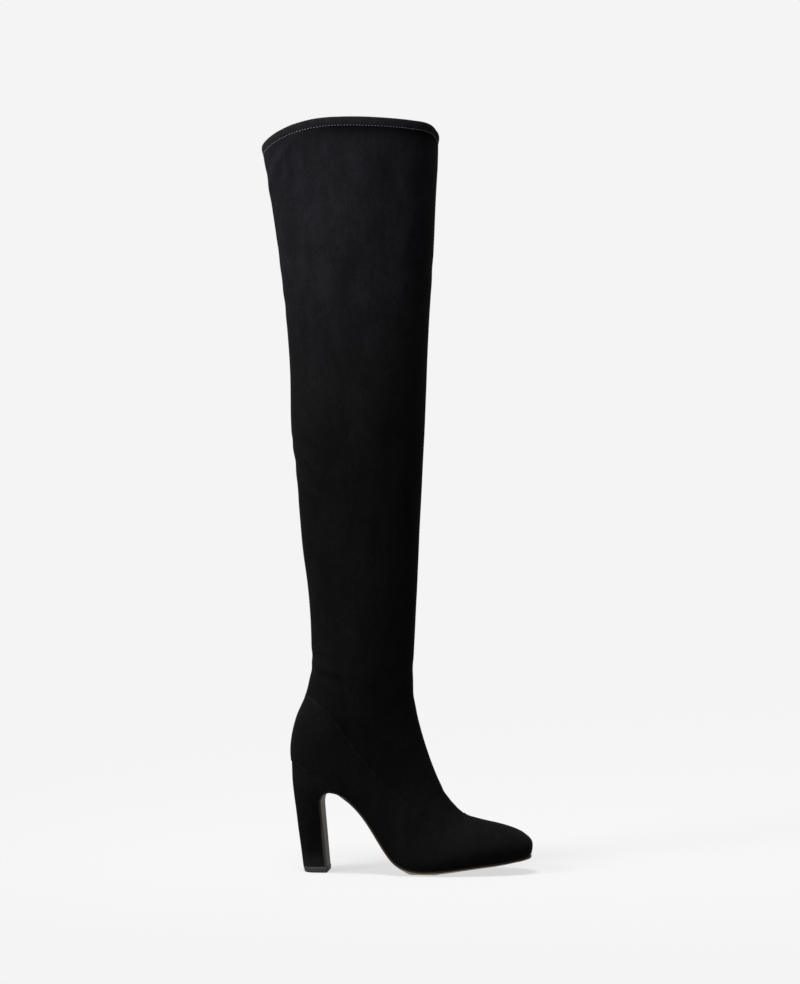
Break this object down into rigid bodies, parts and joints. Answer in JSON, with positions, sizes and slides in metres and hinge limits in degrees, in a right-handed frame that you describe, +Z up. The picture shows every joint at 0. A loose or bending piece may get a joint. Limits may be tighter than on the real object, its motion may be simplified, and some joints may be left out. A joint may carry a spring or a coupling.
{
  "type": "tall heeled boot",
  "caption": "Thigh-high pull-on boot in black faux suede with a soft almond toe, a diagonal topline seam round the foot and a tall covered block heel.",
  "frame": {"origin": "on the floor, under the middle of the boot's length and width", "axes": "+X to the toe, +Y to the inner side of the leg, +Z up the leg"},
  "size_m": [0.2444, 0.1028, 0.6746],
  "materials": {
    "suede": "matte brushed nap, black",
    "sole": "satin taupe sole with a dark painted edge",
    "tip_rubber": "matte dark grey rubber",
    "sock": "smooth black sock lining"
  },
  "bodies": {
    "root": {"outsole": "sole", "heel": "suede", "top_lift": "tip_rubber", "insole": "sock", "upper": "suede", "shaft": "suede"}
  },
  "joints": []
}
